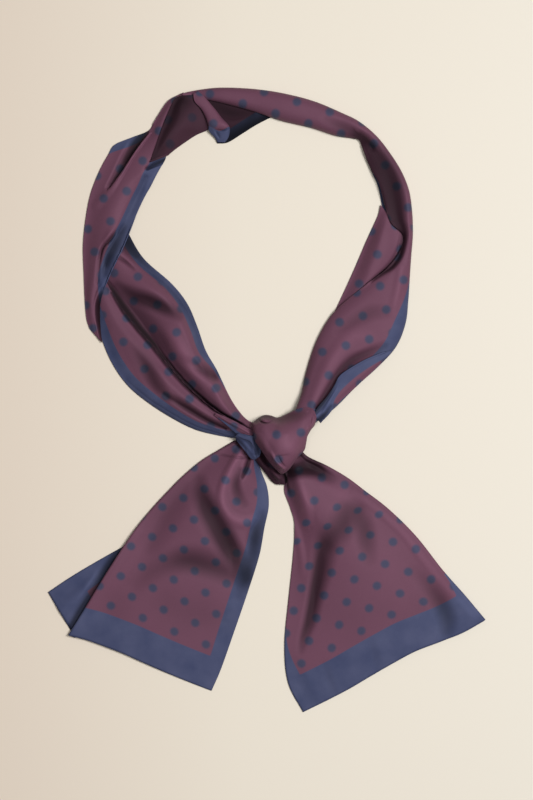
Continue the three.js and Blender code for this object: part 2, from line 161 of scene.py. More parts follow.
stretch(
    name="tail_left_under", rows=40, columns=30, round=0,
    sections=[
        (-164.5, -103, 0, -146, -134, 0, 0.6, 0.4, 15, 0),
        (-148.5, -92.3, 0, -122, -117, 0, 1, 0.4, 15, 0),
        (-128.5, -80.4, 0, -100, -96, 0, 1.2, 0.4, 15, 0),
        (-97.5, -63, 0, -84, -76, 0, 0.5, 0.5, 15, 0)],
    curves=[
        [(-158, -118, 6, 6, 0.4), (-136, -100, 7, 7, 1.2), (-112, -84, 7, 7, 0.6)],
        [(-108, -62, 4, 4, -5), (-123.5, -86.5, 5, 5, -5.5), (-138, -110, 5, 5, -5.5),
         (-150.5, -131, 4, 4, -5)]],
    hem=24.0, print=("plane", -161.0, -103.0, 33.0),
    flat=(0.038, 0.081), area=0.00256)
stretch(
    name="tail_left", rows=130, columns=100, round=0,
    sunk=0.4, left=(180, 1.0), left_tucks=[4, 9, 14, 16, 16, 14, 12, 8, 4, 2],
    sections=[
        (-150, -133, 0, -50, -172, 0, 0.5, 0.3, 0, 9),
        (-136.8, -111.6, 0, -43.5, -157, 0, 1.2, 0.3, 0, 10),
        (-122, -87.4, 0, -35, -133, 0, 2.2, 0.35, 0, 11),
        (-103.6, -59.6, 0, -24, -101, 0, 4, 0.4, 0, 11.5),
        (-92, -45, 0, -16.5, -77, 0, 5.5, 0.45, 0, 11),
        (-80, -32, 0, -13, -58, 0, 6.5, 0.5, 0, 10),
        (-69, -21, 0, -10, -43, 0, 7, 0.5, 0, 9),
        (-57, -11, 0, -11, -30, 0, 7.5, 0.55, 0, 8),
        (-44, -3, 0, -15, -19, 0, 7, 0.5, 0, 6),
        (-32, 4, 0, -18, -10, 0, 5, 0.5, 0, 4)],
    curves=[
        [(-34, 3, 2, 2, -4), (-29.4, -2.8, 2.4, 2.4, -5.5), (-23.8, -9.1, 2.2, 2.2, -5)],
        [(-50, -5, 2, 4, -2), (-40, 1, 2, 5, -4), (-30, 5, 3, 6, -5), (-24, 0, 4, 4, -3)],
        [(-30, -4, 4, 4, 3), (-34, -11, 4, 4, 4), (-38.4, -19.5, 4.5, 4.5, 4), (-42, -28.5, 5, 4.5, 3.8),
         (-43, -36, 5, 5, 3.6), (-41, -44, 5, 5, 3.6), (-35.5, -51, 5.5, 5.5, 3.4), (-27, -54, 6, 6, 3),
         (-18, -51, 5, 5, 1.2)],
        [(-30, -18, 4, 4, -2), (-33, -27, 5, 5, -3.6), (-31, -36, 6, 6, -3), (-27, -42, 5, 5, -1.4)],
        [(-58, -25, 7, 8, -1.6), (-56.5, -34, 9, 11, -4.2), (-52, -44, 10, 13, -6),
         (-46, -54, 10, 14, -6.6),
         (-41, -63, 10, 14, -7.2), (-36.5, -72.5, 10, 12, -7.2), (-31, -82, 10, 10, -4),
         (-26, -91, 9, 9, -1)],
        [(-24, -96, 9, 12, -1.6), (-38, -90, 12, 13, -3), (-54, -84, 13, 15, -3.9),
         (-70, -81, 13, 14, -3.8),
         (-86, -86, 12, 12, -1.8), (-102, -96, 11, 11, -0.8)],
        [(-16, -52, 8, 7, -2.2), (-19, -63, 9, 8, -4.4), (-21, -76, 9, 8, -3.2), (-24, -90, 9, 8, -2.6),
         (-30, -104, 8, 8, -1)],
        [(-24, -11, 3, 3, -5.5), (-26, -17, 2.8, 2.8, -6), (-28.5, -22.5, 1.8, 1.8, -3)],
        [(-46, -6, 1.8, 1.8, -1.22), (-36, -8, 1.6, 1.6, -2.03), (-24, -9, 1.5, 1.5, -2.03)],
        [(-56, -14, 10, 10, -0.8), (-76, -42, 14, 14, -1.6), (-92, -70, 12, 12, -0.9)],
        [(-80, -112, 20, 20, -0.8), (-60, -118, 20, 20, -0.8), (-42, -122, 16, 16, -0.6)],
        [(-92, -56, 8, 8, 0.41), (-112, -88, 9, 9, 1.13), (-134, -120, 9, 9, 0.49)]],
    bend=[0, 1.5, 1.9, 1.9, 1.2, 0.6, 0.2, 0, 0],
    hem=22.5, print=("plane", -76.2, -130.8, -21.3), gather=(0.045, 0.055, 0),
    flat=(0.115, 0.167), area=0.01628)
stretch(
    name="tail_right", rows=130, columns=104, round=0,
    sunk=0.4, right=(180, 1.4), right_tucks=[2, 8, 12, 13, 13, 12, 11, 8, 4, 2],
    sections=[
        (14, -187, 0, 141.4, -122.3, 0, 0.6, 0.5, 13, 9),
        (3.4, -166, 0, 126.6, -104.6, 0, 1.4, 0.5, 10, 5),
        (1, -139, 0, 111.4, -87.4, 0, 3, 0.5, 2, 0),
        (4, -106, 0, 93, -64, 0, 5, 0.5, -1, 0),
        (7, -77, 0, 73.8, -45, 0, 6, 0.45, -1, 0),
        (8, -56, 0, 56.7, -31.8, 0, 6.5, 0.34, -1, 0),
        (5, -44, 0, 45, -23, 0, 7, 0.3, -1, 0),
        (1, -33, 0, 31, -14.8, 0, 7.5, 0.36, -1, 0),
        (1, -23, 1, 17.6, -8.4, 1, 6, 0.5, -1, 0),
        (-1, -13, 3, 12, -3, 3, 4, 0.5, -1, 0)],
    curves=[
        [(30, -54, 11, 8, -0.6), (28, -66, 13, 9, -3.2), (26, -80, 13, 8, -5), (23.5, -94, 11, 7, -5.6),
         (21, -108, 8.5, 6.5, -5.6), (18, -122, 7.5, 6, -5), (14.5, -134, 5, 5, -3.4),
         (12, -144, 4, 4, -1)],
        [(6, -50, 4, 4, 0.41), (10, -62, 4, 4, 1.62), (13, -76, 4, 4, 1.6), (14, -90, 4, 4, 0.6)],
        [(50, -36, 10, 10, -0.81), (45, -47, 13, 13, -3), (40, -58, 13, 13, -3.4),
         (34, -68, 12, 11, -2)],
        [(53, -46, 8, 8, -1.6), (56, -57, 10, 10, -3), (58, -68, 10, 10, -2.6), (60, -80, 8, 8, -1)],
        [(92, -88, 7, 8, -0.6), (101, -98, 9, 9, -1.8), (109, -109, 10, 10, -3), (114, -120, 10, 10, -3),
         (114, -130, 8, 8, -1.8)],
        [(50, -34, 5, 5, 0.8), (66, -45, 5, 5, 1.4), (84, -61, 6, 5, 1.8), (98, -79, 6, 5, 1.8),
         (111, -94, 5, 5, 1.6), (124, -108, 6, 5, 2), (134, -119, 5, 5, 2)],
        [(-4, -18, 8, 8, -6), (4, -18.5, 8, 8, -8), (12, -16.5, 8, 8, -8.5), (22, -17, 8, 8, -8),
         (30, -21.5, 6, 7, -3.6), (37, -26, 4, 5, -0.6)],
        [(4, -5, 9, 8, -4), (12, -6, 9, 8, -4.4), (20, -10.5, 8, 6, -3.4), (29, -16, 6, 5, -1.2),
         (40, -23, 5, 5, -0.2)],
        [(-1, -21, 4, 4, -6), (2, -28, 3, 3, -4.5), (5, -36, 2.5, 2.5, -0.6), (8, -46, 2, 2, 0.2)],
        [(12, -26, 5, 6, 1.5), (14, -34, 6, 8, 3.4), (16, -44, 6, 8, 3.6), (18, -54, 5, 7, 1.6)],
        [(28, -28, 6, 6, 0.6), (40, -34, 7, 7, 1.4), (50, -40, 6, 6, 0.4)],
        [(62, -138, 5, 5, -0.2), (65, -148, 5, 5, -0.6), (68, -158, 5, 5, -0.3)],
        [(28, -152, 5, 5, -0.24), (32, -162, 5, 5, -0.6), (36, -174, 5, 5, -0.3)],
        [(8, -150, 5, 6, -0.24), (14, -166, 6, 6, -0.4), (22, -180, 5, 6, -0.2)]],
    bend=[0, -0.2, 0, 1.2, 2.2, 2.6, 0.8, -0.8, 0],
    hem=24.5, print=("plane", 55.4, -131.0, 27.0), gather=(0, 0.01, 0.0062),
    flat=(0.150, 0.163), area=0.01703)
stretch(
    name="lobe_left_back", node="lobe_left", rows=130, columns=70, round=0,
    sections=[
        (-24, 5, 4, -13, 13, 4, 4, 0.6, 0, 0),
        (-36, 9, 1, -24, 17, 2, 6, 0.6, 0, 0),
        (-48, 15, 0, -31, 24, 0, 7, 0.68, 0, 0),
        (-60, 26, 0, -38, 35, 0, 9, 0.7, 0, 0),
        (-73, 39, 0, -46, 52, 0, 10, 0.72, 0, 2),
        (-85, 53, 0, -54, 66, 0, 11, 0.72, 0, 5),
        (-96, 69, 0, -60, 83, 0, 12, 0.72, 0, 5.5),
        (-106, 83, 0, -67, 99, 0, 11, 0.7, 0, 6),
        (-115, 95, 0, -78, 113, 0, 10, 0.66, 0, 6),
        (-125, 108, 0, -97, 130, 0, 6, 0.55, 0, 6),
        (-131, 122, 0, -107, 146, 0, 4, 0.5, 0, 7),
        (-133, 138, 0, -112, 158, 0, 1, 0.5, 0, 10)],
    curves=[
        [(-30, 15, 3, 4, -2), (-40.5, 21.5, 4, 4, -2), (-53.5, 31.5, 5, 4.5, -1.6),
         (-67, 44, 5, 5, -1.4),
         (-79, 58, 5, 6, -1.6), (-90, 72.5, 5, 11, -3), (-100, 84.5, 5, 13, -3.2), (-110, 97, 6, 13, -3),
         (-118.5, 109, 4, 9, -2)],
        [(-30, 14.5, 2, 1.8, -5), (-40.8, 20.8, 2, 1.8, -7), (-54.2, 31, 2.4, 1.8, -8),
         (-68, 43.6, 2.4, 1.8, -8.5),
         (-80, 57.2, 2.4, 2, -8.5), (-91.2, 71.4, 2.4, 2.6, -9), (-101.6, 83.2, 2.4, 3.2, -9.5),
         (-111.6, 96, 2.4, 3.8, -9.5), (-118.5, 107, 2.2, 3.4, -8), (-123, 113.5, 2, 2.6, -5)],
        [(-116, 112, 4, 5, -0.8), (-104, 105, 7, 8, -4), (-92, 100, 8, 9, -6), (-82, 95, 8, 8, -5),
         (-73, 90, 6, 6, -2)],
        [(-113, 154, 6, 8, -6), (-108, 141, 8, 9, -8), (-97, 127, 6, 6, -3), (-82, 112, 5, 5, -1.5),
         (-68, 97, 5, 5, -2), (-60, 82, 5, 5, -1.5), (-53, 64, 4, 4, -1)],
        [(-84, 84, 6, 6, 0.5), (-77, 74, 8, 8, 3), (-71, 63, 8, 8, 4), (-63, 51, 7, 7, 3.6),
         (-54, 41, 6, 6, 2)],
        [(-70, 60, 5, 5, -1), (-60, 54, 7, 6, -3.5), (-48, 48, 7, 6, -3.5)],
        [(-118, 133, 1.5, 2.5, -1.5), (-111, 129, 1.5, 2.5, -3.5), (-104, 123, 1.2, 2, -1.5)],
        [(-46, 23.5, 1.5, 1.5, -3), (-38, 19.8, 1.5, 1.5, -4), (-28.7, 14.8, 1.5, 1.5, -4.5),
         (-20.9, 8.6, 1.5, 1.5, -4)],
        [(-40, 22, 5, 6, 0.8), (-45, 34, 6, 7, 1.5), (-50, 42, 5, 6, 0.6)]],
    sunk=0.6, print=("plane", -74.0, 78.5, 35.0),
    flat=(0.050, 0.178), area=0.00691)
stretch(
    name="lobe_left_front", node="lobe_left", rows=130, columns=60, round=0, sunk=0.5,
    sections=[
        (-21, 5, 5, -18.5, 9, 5, 2, 0.5, 4, 0),
        (-34, 5, 2, -29.5, 14.5, 3, 2, 0.6, 5, 0),
        (-47, 7, 0, -41, 20.5, 3, 3, 0.65, 5, 0),
        (-62, 11, 0, -54.8, 30.4, 3, 4, 0.65, 6, 0),
        (-78, 19, 0, -68.6, 43, 3, 5, 0.65, 7, 0),
        (-95, 30, 0, -80.6, 56.6, 3, 6, 0.65, 8, 0),
        (-109, 42, 0, -92, 70.6, 3, 5, 0.65, 8.5, 0),
        (-120, 58, 0, -102.4, 82.4, 3, 4, 0.65, 8.5, 0),
        (-127.5, 76, 0, -112.4, 95, 3, 3, 0.6, 8, 0),
        (-133, 94, 0, -119.8, 107, 2, 2, 0.6, 7, 0),
        (-133, 108, 0, -125, 117, 0, 1.5, 0.5, 5, 0)],
    curves=[
        [(-106, 70, 6, 6, -0.6), (-96, 56, 8, 8, -3.4), (-89, 43, 8, 8, -3.4), (-81, 33, 5, 5, -2)],
        [(-83, 36, 3, 3, -1.5), (-74, 30, 5, 3.6, -4), (-66, 25, 5, 3.6, -5.5), (-53, 17.2, 4, 3, -5.5),
         (-40, 11.5, 3, 2, -5)],
        [(-30, 13, 1.6, 1.4, -4), (-41, 19.8, 2, 1.4, -7), (-54.6, 29.8, 2.6, 1.4, -9),
         (-68.4, 42.4, 3, 1.4, -9.5),
         (-80.5, 56, 3, 1.4, -9.5), (-91.8, 70, 2.8, 1.4, -9.5), (-102.2, 81.8, 2.6, 1.4, -9.5),
         (-112.2, 94.4, 2.4, 1.4, -9), (-119.6, 106.4, 2, 1.2, -7)],
        [(-110, 43, 4, 4, -1), (-95, 30, 4.5, 4, -3), (-78, 19, 4.5, 4, -3.6), (-62, 11, 4, 4, -3.6),
         (-47, 7, 3, 3, -3), (-36, 5, 2, 2, -2)],
        [(-120, 78, 5, 5, 0.5), (-110, 55, 6, 6, 1), (-90, 32, 5, 5, 0.8)]],
    print=("plane", -96.6, 53.2, 128.0),
    flat=(0.036, 0.160), area=0.00402)
# Deep under the twist: its cloth is painted dark as shade, with no dots.
stretch(
    name="twist_under", rows=50, columns=40, round=0, cloth="inside",
    sections=[
        (-60, 246, 1, -46, 211, 0, 1, 0.6, 0, 8),
        (-49, 246, 1, -38.5, 211.8, 0, 1, 0.6, 0, 8),
        (-35, 242, 1, -28, 218.2, 0, 1, 0.6, 0, 8),
        (-22, 237, 1, -18, 224.4, 0, 1, 0.6, 0, 8),
        (-9, 233, 1, -6, 230.5, 0, 0.5, 0.5, 0, 8)],
    curves=[[(-50, 240, 8, 8, -2), (-38, 233, 8, 8, -3), (-24, 232, 6, 6, -2)],
        [(-44, 212, 10, 6, -4), (-33, 215.5, 10, 6, -5), (-20, 223, 9, 6, -5), (-8, 230, 6, 5, -5)]],
    print=("strip", 20.0, 4.0),
    flat=(0.038, 0.046), area=0.00105)
stretch(
    name="lapel_left", rows=190, columns=90, round=0,
    sections=[
        (-135.5, 81.5, 0, -126.5, 71.5, 0, 0.6, 0.5, 0, 0),
        (-137.5, 88, 0, -127.5, 82, 0.5, 1.5, 0.5, 0, 0),
        (-138.5, 98, 0, -127.8, 96, 0.5, 2.5, 0.45, 0, 0),
        (-139, 108, 0, -125.5, 107, 1, 3, 0.45, 0, 3.5),
        (-139.5, 121, 0, -120, 120, 1, 4, 0.5, 0, 8.5),
        (-140, 139, 0, -111, 139, 1, 5, 0.5, 0, 11),
        (-138.5, 156, 0, -103, 160, 1, 5, 0.5, 0, 9.5),
        (-135.5, 173, 0, -97, 173, 1, 5, 0.55, 0, 9),
        (-131.5, 185, 0, -92.5, 181, 1, 5, 0.6, 0, 9),
        (-127, 195, 0, -89.5, 187, 1, 5, 0.7, 0, 9),
        (-122.5, 203, 0, -86.8, 192, 1, 5, 0.7, 0, 8.5),
        (-118, 210, 0, -84.5, 196, 1, 5, 0.7, 7, 8),
        (-106.5, 215, 0, -82, 201, 0.5, 5, 0.7, 6.3, 7),
        (-94.5, 219.8, 0, -82, 208, 0.5, 4, 0.6, 0, 0),
        (-90.5, 225.5, 1, -80, 217, 0.5, 3, 0.5, 0, 0),
        (-86.8, 231.5, 1, -77, 229, 1, 3, 0.5, 0, 0),
        (-80, 241, 1, -72.5, 238.5, 1, 2.5, 0.5, 0, 0),
        (-70, 246.6, 0, -67, 244, 0, 1.5, 0.5, 0, 0)],
    curves=[
        [(-94, 219, 1, 7, -6), (-101, 209.5, 1, 8, -6), (-107, 200.5, 1, 8, -6), (-114, 190, 1, 6, -5),
         (-121, 180, 1, 4, -3)],
        [(-93, 218, 1, 1, 2.5), (-100, 208.5, 1.2, 1, 3), (-106, 199.5, 1.4, 1, 3),
         (-113, 188.5, 2, 1.5, 2),
         (-121, 178, 4, 4, 1), (-130, 168, 5, 5, 0.8)],
        [(-95, 193, 2, 2, -4), (-89, 196.5, 2.4, 2.4, -6), (-83, 199.5, 2.2, 2.2, -6),
         (-79, 202, 2, 2, -4)],
        [(-117, 148.5, 1.5, 1.5, -2), (-121, 143, 1.8, 2.4, -4.5), (-126, 137, 1.8, 2.4, -3.5),
         (-128.5, 126, 2, 3, -1.5), (-129.5, 114, 2, 3, -1)],
        [(-107, 153, 5, 5, -0.8), (-115, 140, 6, 6, -1.6), (-122, 126, 4, 5, -1.6)],
        [(-126, 108, 3, 3, -3), (-128, 100, 4, 4, -9), (-127.8, 92, 5, 5, -9), (-127, 83, 4, 4, -9),
         (-125.5, 72, 3, 3, -7)],
        [(-111, 152, 4, 4, -1.5), (-117, 142, 7, 7, -3.2), (-121.5, 132, 7, 7, -3.4),
         (-125, 120, 5, 5, -2)],
        [(-96, 218, 2, 6, -3), (-102, 209, 1, 7, -3.6), (-108, 200, 1, 5, -2)],
        [(-103, 159, 0.8, 0.8, 1), (-111, 139, 0.8, 0.8, 2.5), (-120, 120, 0.8, 0.8, 2.5),
         (-125, 108, 0.8, 0.8, 1)],
        [(-96, 187, 3, 3, -1), (-105, 168, 5, 5, -1.2), (-113, 150, 5, 5, -1)]],
    print=("plane", -109.1, 177.2, 62.0),
    flat=(0.050, 0.188), area=0.00496)
stretch(
    name="loop_right_hollow", node="loop_right_inner", rows=70, columns=40, round=0,
    sections=[
        (52, 221, 0, 48, 217, 0, 0.5, 0.5, 0, 0),
        (60, 214, 0, 53.5, 212.8, 0, 1, 0.7, 0, 0),
        (70, 205, 0, 57.5, 202.5, 0, 2.5, 0.75, 0, 0),
        (79, 190, 0, 62, 191.5, 0, 3.5, 0.8, 0, 4),
        (85, 175, 0, 66.5, 181, 0, 3.5, 0.8, 0, 5),
        (87, 161, 0, 69, 169, 0, 2.5, 0.7, 0, 3),
        (87, 150, 0, 72, 158, 0, 1, 0.6, 0, 0),
        (86, 140, 0, 76, 146, 0, 0.4, 0.5, 0, 0)],
    curves=[[(62, 200, 5, 5, -1.5), (67, 182, 5, 5, -1.5), (71, 168, 6, 6, -2)]],
    print=("plane", 65.0, 133.2, 30.0),
    flat=(0.021, 0.085), area=0.00117)
stretch(
    name="loop_right_inner", rows=80, columns=44, round=0,
    sections=[
        (84, 146, 0, 68.3, 168, 0, 0.6, 0.7, 0, 0),
        (86, 141, 0, 66.5, 161, 0, 3, 0.7, 0, 0),
        (86, 133, 0, 62.5, 152, 0, 5, 0.7, 0, 0),
        (82, 124, 0, 57.5, 141, 0, 5.5, 0.65, 0, 0),
        (76, 117, 0, 52, 128, 0, 5, 0.6, 0, 0),
        (68, 110, 0, 46, 114.5, 0, 4, 0.5, 0, 0),
        (58, 102, 0, 39.5, 100.5, 0, 3, 0.5, 0, 0),
        (44, 92, 0, 34.5, 90, 0, 2, 0.5, 0, 0)],
    curves=[
        [(84, 150, 3, 3, -2), (83, 136, 4, 5, -4.5), (76, 124.5, 4, 5, -5), (64, 114, 3.5, 4, -4.5),
         (52, 104, 2, 2.5, -4.5),
         (42, 95, 2, 2, -4)]],
    print=("plane", 65.8, 133.0, 58.3),
    flat=(0.034, 0.077), area=0.00188)
stretch(
    name="loop_right", rows=280, columns=64, round=2.6, sunk=0.6,
    sections=[
        (-71, 245.4, 0, -67, 240.5, 0, 1, 0.5, 0, 0),
        (-58.5, 248.2, 0, -56.5, 242, 0, 3, 0.5, 0, 0),
        (-43, 249.7, 0, -41, 239, 0, 6, 0.5, 0, 0),
        (-20, 248.7, 0, -20, 233.3, 0, 7.5, 0.5, 0, 0),
        (1, 245.5, 0, -1, 227, 0, 9, 0.45, 0, 0),
        (22, 240, 0, 20, 222, 0, 9, 0.45, 0, 0),
        (41, 232, 0, 37, 216.5, 0, 9, 0.45, 0, 0),
        (53, 226, 0, 48.5, 214.6, 0, 9, 0.5, 0, 0),
        (65, 216, 0, 54, 212.4, 0, 9, 0.4, 0, 0),
        (75, 203.5, 0, 57.5, 202.5, 0, 9, 0.35, 0, 0),
        (83, 190.5, 0, 62, 191.8, 0, 9, 0.32, 0, 0),
        (88, 177.5, 0, 67.5, 181.5, 0, 9, 0.3, 0, 0),
        (90, 164, 0, 71.3, 166.5, 0, 8, 0.3, 0, 0),
        (90.6, 152.5, 0, 75.5, 155, 0, 8, 0.35, 0, 0),
        (90.4, 143.5, 0, 83.5, 147.2, 0, 8, 0.45, 0, 0),
        (89.5, 133, 0, 82.8, 138.2, 0, 7, 0.5, 0, 0),
        (88.5, 118, 0, 74, 125, 0, 8, 0.6, 0, 0),
        (87.5, 102, 0, 58, 112, 0, 8, 0.6, 3, 0),
        (85.5, 85, 0, 40, 97, 0, 8, 0.6, 8, 0),
        (79, 69, 0, 30, 85, 0, 8, 0.55, 9, 0),
        (67, 55.5, 0, 22, 69, 0, 8, 0.5, 9, 0),
        (51, 41, 0, 16, 50, 0, 8, 0.5, 9, 0),
        (36, 26, 2, 13, 36, 2, 7, 0.5, 9, 0),
        (20, 14, 5, 8, 22, 5, 5, 0.5, 9, 0)],
    curves=[
        [(30, 226, 5, 5, -0.8), (42, 221, 7, 8, -2.8), (52, 216.5, 5, 8, -3), (62, 208, 3, 5, -2.4)],
        [(54, 216, 5, 10, -2.4), (58, 212, 7, 12, -4), (66.5, 199, 12, 18, -6), (74, 185, 12, 20, -7),
         (77.5, 171, 11, 20, -7), (80, 158, 8, 17, -7), (83.5, 149, 5, 9, -6.5), (83.7, 142, 3.5, 5, -6),
         (81.5, 132, 3, 4, -6), (76, 124.6, 3, 4, -6), (69, 120, 2.6, 4, -5), (62, 115.2, 2.4, 4, -4)],
        [(74, 92, 6, 8, -0.6), (60, 92, 8, 8, -1.8), (48, 86, 7, 7, -1.6), (38, 80, 5, 5, -0.6)],
        [(70, 68, 5, 6, -1.5), (57.4, 64, 7, 5, -3.5), (46.9, 58.8, 8, 5, -4.2), (38.2, 50, 7, 4, -4.5),
         (30.5, 37, 4, 4, -4.5), (23.5, 26, 3, 3, -4.5)],
        [(58, 76, 7, 7, 0.6), (46, 74, 8, 8, 1.6), (34, 60, 7, 7, 2), (26, 44, 6, 6, 1.6),
         (20, 30, 4, 4, 0.8)],
        [(82, 124, 4, 4, 1), (80, 108, 4, 5, 1.4), (76, 92, 4, 5, 0.8)],
        [(23, 67, 4, 4, -0.6), (16, 50, 4, 4, -1), (12, 36, 4, 4, -1.4)]],
    print=("plane", -28.1, 238.1, -17.0), print_after=(0.56, 55.65, 90.1, 60.0),
    flat=(0.058, 0.359), area=0.01059)
# The twist's far face: the reverse of the cloth, painted darker as shade.
stretch(
    name="twist_dark", rows=60, columns=50, round=0, cloth="reverse", sunk=0.35,
    sections=[
        (-92.6, 197.1, 1, -80.4, 202.6, 0, 2, 0.3, 0, 0),
        (-90.6, 203.5, 2, -74.9, 207.2, 0, 3, 0.3, 0, 0),
        (-88.3, 210.1, 3, -68.1, 212.1, 0, 5, 0.3, 0, 0),
        (-85.7, 218.0, 3, -60.5, 217.0, 0, 6, 0.3, 0, 0),
        (-83.1, 225.1, 3, -52.0, 221.0, 0, 6, 0.3, 0, 0),
        (-80.5, 231.5, 3, -50.0, 227.0, 0, 6, 0.3, 0, 0),
        (-78.0, 237.0, 3, -52.0, 236.0, 0, 5, 0.3, 0, 0),
        (-75.0, 242.2, 2, -57.5, 242.0, 0, 3, 0.4, 0, 0),
        (-70.0, 244.0, 1, -61.0, 244.6, 0, 1, 0.5, 0, 0)],
    curves=[[(-90, 200, 6, 8, -3), (-84, 214, 8, 8, -2.5), (-79, 228, 7, 12, -3.5),
             (-73, 241, 6, 16, -4.5)],
        [(-92, 197.8, 0.8, 0.8, 2), (-86, 200.5, 0.8, 0.8, 4), (-81, 203, 0.8, 0.8, 2)]],
    print=("plane", -63.5, 228.5, 50.0),
    flat=(0.034, 0.052), area=0.00116)
stretch(
    name="lobe_right_flap", rows=60, columns=34, round=0, sunk=0.5,
    sections=[
        (76.6, 66.6, 0, 75.8, 66, 0, 0.6, 0.3, 0, 2),
        (73, 61.5, 0, 69, 64.5, 0, 1.2, 0.3, 0, 4.5),
        (64, 53, 0, 58, 60, 0, 1.6, 0.3, 0, 6),
        (55.5, 45, 0, 48, 54.5, 0, 1.6, 0.3, 0, 7),
        (47.5, 37.5, 0, 39.5, 48.5, 0, 1.6, 0.3, 0, 8),
        (40.5, 31.5, 0, 35.5, 41.5, 0, 1.6, 0.35, 0, 6.5),
        (35.5, 26, 0, 30.5, 34, 0, 1.6, 0.4, 0, 8),
        (31, 20.5, 0, 24.5, 27, 0, 2, 0.4, 0, 20),
        (26, 15.5, 1, 21, 21.5, 1, 2, 0.5, 0, 20)],
    curves=[
        [(77, 67.5, 0.8, 0.8, 1), (68.5, 64, 0.8, 0.8, 2), (57.5, 59.4, 0.8, 0.8, 2),
         (47.6, 54, 0.8, 0.8, 2),
         (39.3, 48, 0.8, 0.8, 1)],
        [(37, 39, 1.5, 2, 0.5), (32.5, 31, 2, 2, 1.8), (28, 23, 2, 2, 1.2)],
        [(37, 45, 2, 2, -3), (32.5, 37, 3, 3, -5), (27, 29.5, 3.4, 3.4, -6), (22, 23.5, 3, 3, -6)],
        [(33, 27, 2, 2, -2), (28, 20.5, 3, 3, -5), (23, 16, 3, 3, -6)]],
    print=("strip", 60.0, 3.0),
    flat=(0.014, 0.072), area=0.00072)
stretch(
    name="twist_strip", rows=60, columns=40, round=3,
    sections=[
        (-59.5, 247, 2, -62.5, 245.5, 2, 2, 0.5, 0, 0),
        (-54, 241.8, 2, -61.5, 240, 2, 3.5, 0.5, 0, 0),
        (-47.3, 234.2, 2, -57, 234.8, 2, 4, 0.5, 0, 0),
        (-43, 228.5, 2, -54, 229.2, 2, 4.5, 0.5, 0, 0),
        (-38, 223, 2, -52, 223.5, 2, 5, 0.5, 0, 0),
        (-37.5, 218.5, 1, -51.5, 219.5, 0, 4, 0.5, 7, 7),
        (-38.8, 214.5, 0, -47.5, 215, 0, 3, 0.5, 9, 9),
        (-41, 211.8, 0, -45.5, 211.8, 0, 1.5, 0.5, 9, 9)],
    curves=[[(-47.5, 220.5, 1.3, 1.3, -0.6), (-46, 217.5, 1.3, 1.3, -1.2), (-44.6, 215, 1.2, 1.2, -0.6)],
        [(-38, 221, 1.2, 1.2, -1), (-42, 219.8, 1.2, 1.2, -1.8), (-46, 220.2, 1.2, 1.2, -1.5)]],
    print=("plane", -48.6, 224.1, 113.0),
    flat=(0.019, 0.040), area=0.00050)
# Under the knot: the reverse of the cloth, painted darker as shade.
stretch(
    name="knot_under", rows=44, columns=40, round=2, cloth="reverse",
    sections=[
        (-15, 4, 4, -24, -3, 2, 6, 0.5, 0, 0),
        (-9, -8, 2, -20, -8.5, 0, 6, 0.5, 0, 0),
        (-4, -14, 1, -16.5, -14, 0, 6, 0.5, 0, 0),
        (1.5, -20, 1, -11.6, -20.4, 0, 5, 0.5, 0, 0),
        (3, -24.5, 1, -8.4, -24.6, 0, 4, 0.5, 0, 0),
        (1.5, -27.5, 0, -5.2, -27.4, 0, 2, 0.5, 0, 0)],
    curves=[
        [(-17, -3, 3, 3, -3), (-14, -9, 3, 3, -4), (-11.5, -13, 2.5, 2.5, -3), (-9, -16, 2, 2, -1)],
        [(-9, -17, 2.5, 2, 0.6), (-6, -20, 3, 2.5, 3), (-3, -23, 3, 2.5, 3)],
        [(-3, -14, 2, 2.5, -4), (0.5, -18.5, 2, 3, -7), (2.5, -22.5, 2, 3, -8), (3, -26, 2, 2.6, -6)]],
    print=("strip", 44.0, 6.0),
    flat=(0.022, 0.033), area=0.00059)
stretch(
    name="knot_strip", rows=50, columns=30, round=1,
    sections=[
        (-47, 22.5, 0, -48, 21, 0, 1, 0.5, 0, 0),
        (-38, 18.8, 0, -40, 14.6, 0, 3, 0.5, 0, 1.4),
        (-28.7, 14, 2, -32.5, 8.5, 1, 3.5, 0.5, 0, 1.8),
        (-20.5, 7.8, 5, -24.5, 4.5, 4, 3, 0.5, 0, 1.2)],
    curves=[[(-44, 19.5, 1, 1, 0.5), (-34, 14.5, 1.6, 1.6, 1.5), (-24, 9, 1.6, 1.6, 1.5)]],
    print=("strip", 44.0, 8.0),
    flat=(0.010, 0.029), area=0.00018)
stretch(
    name="knot_collar", rows=40, columns=30, round=1,
    sections=[
        (-31, 8.4, 0, -33.6, 6.1, 0, 2, 0.5, 20, 0),
        (-24.9, 7.2, 1, -31.9, 2.9, 0, 3, 0.5, 20, 0),
        (-19.5, 5.7, 2, -28.7, -1.3, 1, 4, 0.4, 20, 0),
        (-17, 1, 3, -25.2, -5.6, 1, 4, 0.4, 20, 0),
        (-15.5, -3.6, 3, -22.1, -9.3, 2, 3, 0.5, 20, 0),
        (-16.2, -7.5, 3, -19.4, -9.9, 2, 1.5, 0.5, 20, 0)],
    curves=[
        [(-19.5, 4, 2.5, 3, -2), (-18, -1, 2.5, 3.5, -3.5), (-18, -6, 2.5, 3, -2.5)],
        [(-31, 5, 2, 2, 0.4), (-26, 0, 2, 2, 1.2), (-22, -5, 2, 2, 0.5)]],
    print=("strip", 0.0, 0.0),
    flat=(0.014, 0.023), area=0.00025)
